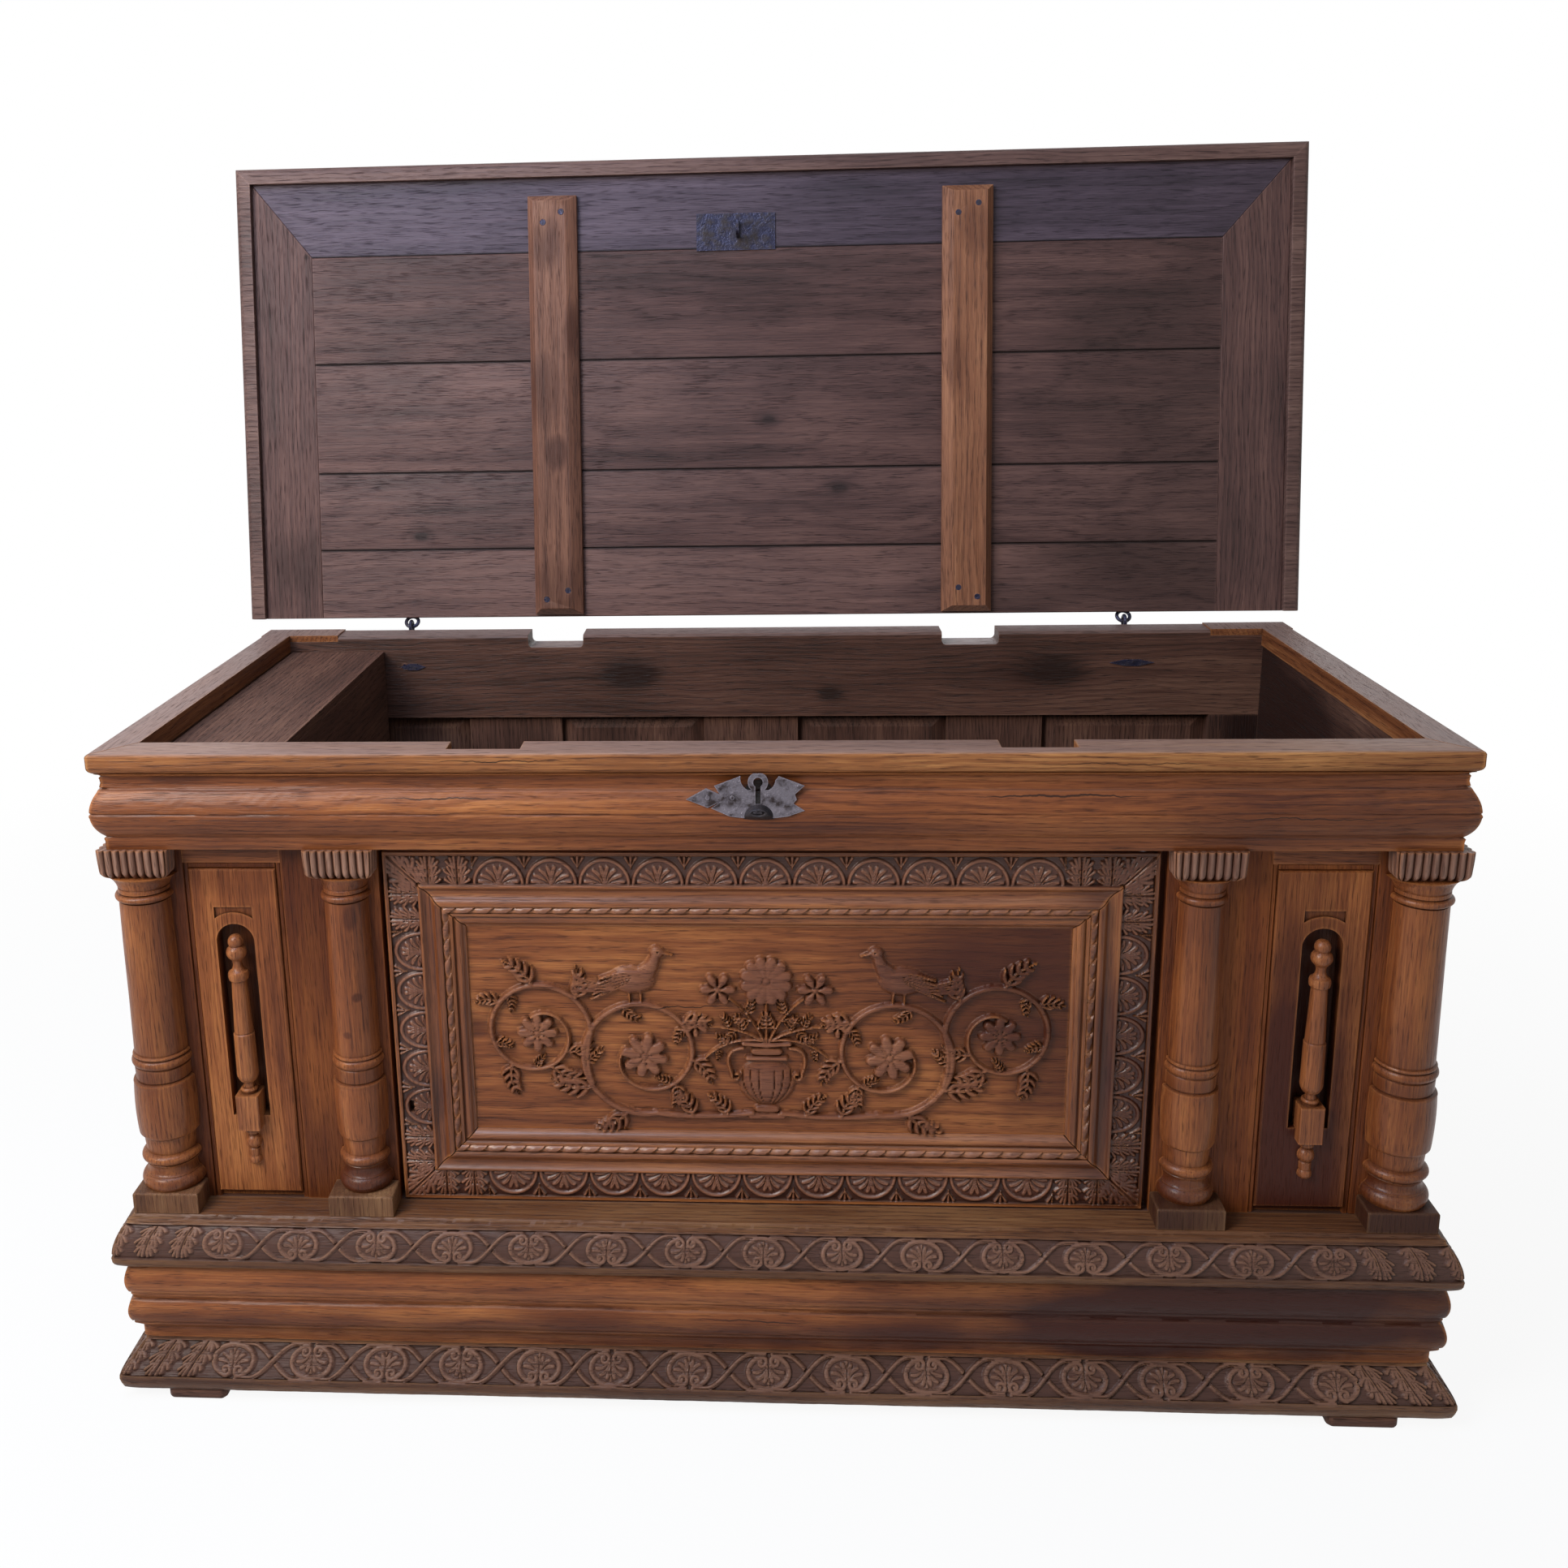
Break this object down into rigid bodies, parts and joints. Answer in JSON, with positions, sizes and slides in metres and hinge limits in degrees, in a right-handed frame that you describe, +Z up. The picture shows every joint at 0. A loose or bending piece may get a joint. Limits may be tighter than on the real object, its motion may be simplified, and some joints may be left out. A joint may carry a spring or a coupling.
{
  "type": "cassone",
  "caption": "Carved oak chest with engaged columns, moulded base and cornice, a hinged lid leaning open, a central panelled door, a till, and iron locks and hinges.",
  "frame": {"origin": "on the floor under the middle of the whole object with its lid open", "axes": "+X to the right along the length, +Y to the back, +Z up; the carved front faces -Y"},
  "size_m": [1.6914, 0.8707, 1.595],
  "materials": {
    "oak": "waxed",
    "oak_carved": "waxed",
    "oak_lid": "worn wax",
    "oak_batten": "worn wax",
    "oak_plain": "dry",
    "iron": "dark, worn"
  },
  "bodies": {
    "case": {"back_bottom_rail": "oak_plain", "back_muntins": "oak_plain", "back_panels": "oak_plain", "back_posts": "oak_plain", "back_top_rail": "oak", "balusters": "oak", "bottom_boards": "oak_plain", "capitals": "oak", "carved_base_front": "oak_carved", "carved_base_returns": "oak_carved", "chest_lock": "iron", "column_inner_left": "oak", "column_inner_right": "oak", "column_outer_left": "oak", "column_outer_right": "oak", "column_plinths": "oak", "cornice_front": "oak", "cornice_returns": "oak", "escutcheon": "iron", "feet": "oak_plain", "front_panel_left": "oak", "front_panel_right": "oak", "front_posts": "oak", "front_sill": "oak_plain", "front_top_rail": "oak", "hinge_loops_case": "iron", "jamb_left": "oak", "jamb_right": "oak", "ledge_front": "oak_carved", "ledge_returns": "oak_carved", "panel_mouldings": "oak", "plinth_moulding_front": "oak", "plinth_moulding_returns": "oak", "side_panel_left": "oak_plain", "side_panel_right": "oak_plain", "till_bottom": "oak_plain", "till_front": "oak_plain", "top_frame_front": "oak", "top_frame_left": "oak", "top_frame_right": "oak"},
    "lid": {"lid_front_board": "oak_lid", "lid_end_boards": "oak_lid", "lid_boards": "oak_lid", "lid_edge_mouldings": "oak_lid", "batten_left": "oak_batten", "batten_right": "oak_batten", "batten_screws": "iron", "lid_keep": "iron", "hinge_loops_lid": "iron"},
    "till_cover": {"till_lid": "oak_plain"},
    "door": {"door_bottom_rail": "oak", "door_stile_hinge": "oak", "door_top_rail": "oak", "door_stile_lock": "oak", "door_rope_mouldings": "oak", "door_panel": "oak_carved", "door_pivots": "iron", "door_lock": "iron"},
    "door_latch": {"door_bolt": "iron"},
    "chest_bolt": {"chest_lock_bolt": "iron"}
  },
  "joints": [
    {"name": "lid_hinge", "type": "hinge", "parent": "case", "child": "lid", "pos_m": [0, 0.30745, 0.866], "axis": [-1, 0, 0], "range_deg": [-98.35, 0]},
    {"name": "door_hinge", "type": "hinge", "parent": "case", "child": "door", "pos_m": [0.446, -0.35695, 0.257], "axis": [0, 0, 1], "range_deg": [0, 90]},
    {"name": "till_lid_hinge", "type": "hinge", "parent": "case", "child": "till_cover", "pos_m": [-0.757, -0.33395, 0.833], "axis": [0, -1, 0], "range_deg": [0, 90]},
    {"name": "door_bolt_slide", "type": "slide", "parent": "door", "child": "door_latch", "axis": [-1, 0, 0], "range_m": [0, 0.014]},
    {"name": "chest_bolt_slide", "type": "slide", "parent": "case", "child": "chest_bolt", "axis": [-1, 0, 0], "range_m": [0, 0.016]}
  ]
}
